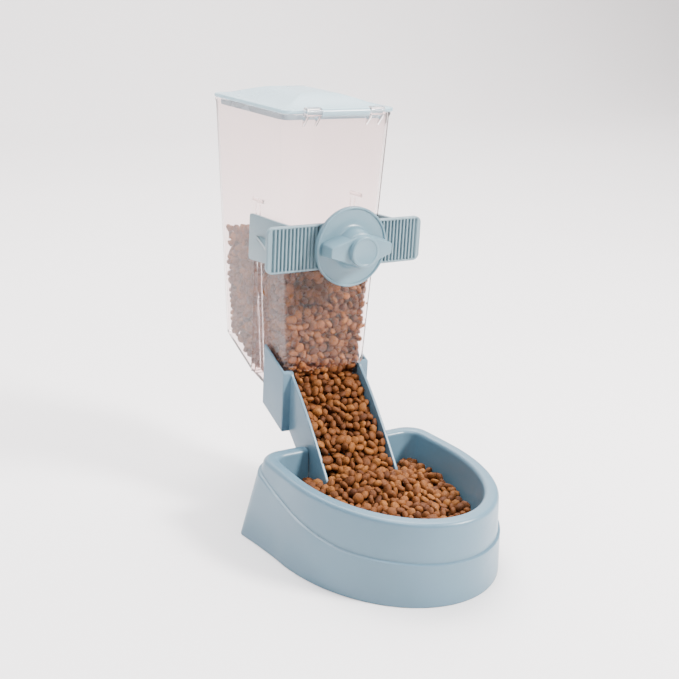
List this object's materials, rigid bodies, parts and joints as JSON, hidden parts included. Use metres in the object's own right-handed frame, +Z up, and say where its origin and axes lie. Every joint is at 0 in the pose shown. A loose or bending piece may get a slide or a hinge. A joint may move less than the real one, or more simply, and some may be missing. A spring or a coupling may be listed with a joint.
{
  "type": "cage feeder",
  "caption": "Clear hopper with hinged lid that clamps behind a wire panel and feeds pellets down a chute into a deep bowl in front of the panel.",
  "frame": {"origin": "on the clamp bolt's axis, in the middle plane of the wires that the plate and the wing nut grip", "axes": "+X along the wire panel, +Y away from the bowl towards the hopper, +Z up"},
  "size_m": [0.138, 0.2488, 0.268],
  "materials": {
    "clear_plastic": "clear, glossy, faint warm tint",
    "lid_plastic": "pale blue grey, satin",
    "bracket_plastic": "blue grey moulded plastic, satin",
    "bolt_plastic": "blue grey moulded plastic, satin",
    "knob_plastic": "light blue grey, soft gloss",
    "chute_plastic": "light blue grey, soft gloss",
    "bowl_plastic": "light blue grey, soft gloss"
  },
  "bodies": {
    "bracket": {"bracket": "bracket_plastic", "clamp_bolt": "bolt_plastic"},
    "wing_nut": {"wing_nut": "knob_plastic"},
    "hopper": {"hopper": "clear_plastic"},
    "lid": {"lid": "lid_plastic"},
    "chute": {"chute": "chute_plastic"},
    "bowl": {"bowl": "bowl_plastic"}
  },
  "joints": [
    {"name": "wing_nut_turn", "type": "hinge", "parent": "bracket", "child": "wing_nut", "pos_m": [0, 0, 0], "axis": [0, 1, 0], "continuous": true},
    {"name": "hopper_lift", "type": "slide", "parent": "bracket", "child": "hopper", "axis": [0, 0, 1], "range_m": [0, 0.05]},
    {"name": "lid_hinge", "type": "hinge", "parent": "hopper", "child": "lid", "pos_m": [0, 0.0112, 0.0806], "axis": [1, 0, 0], "range_deg": [0, 95]},
    {"name": "chute_pull", "type": "slide", "parent": "hopper", "child": "chute", "axis": [0, 0, -1], "range_m": [0, 0.02]},
    {"name": "bowl_lift", "type": "slide", "parent": "chute", "child": "bowl", "axis": [0, 0, 1], "range_m": [0, 0.006]}
  ]
}
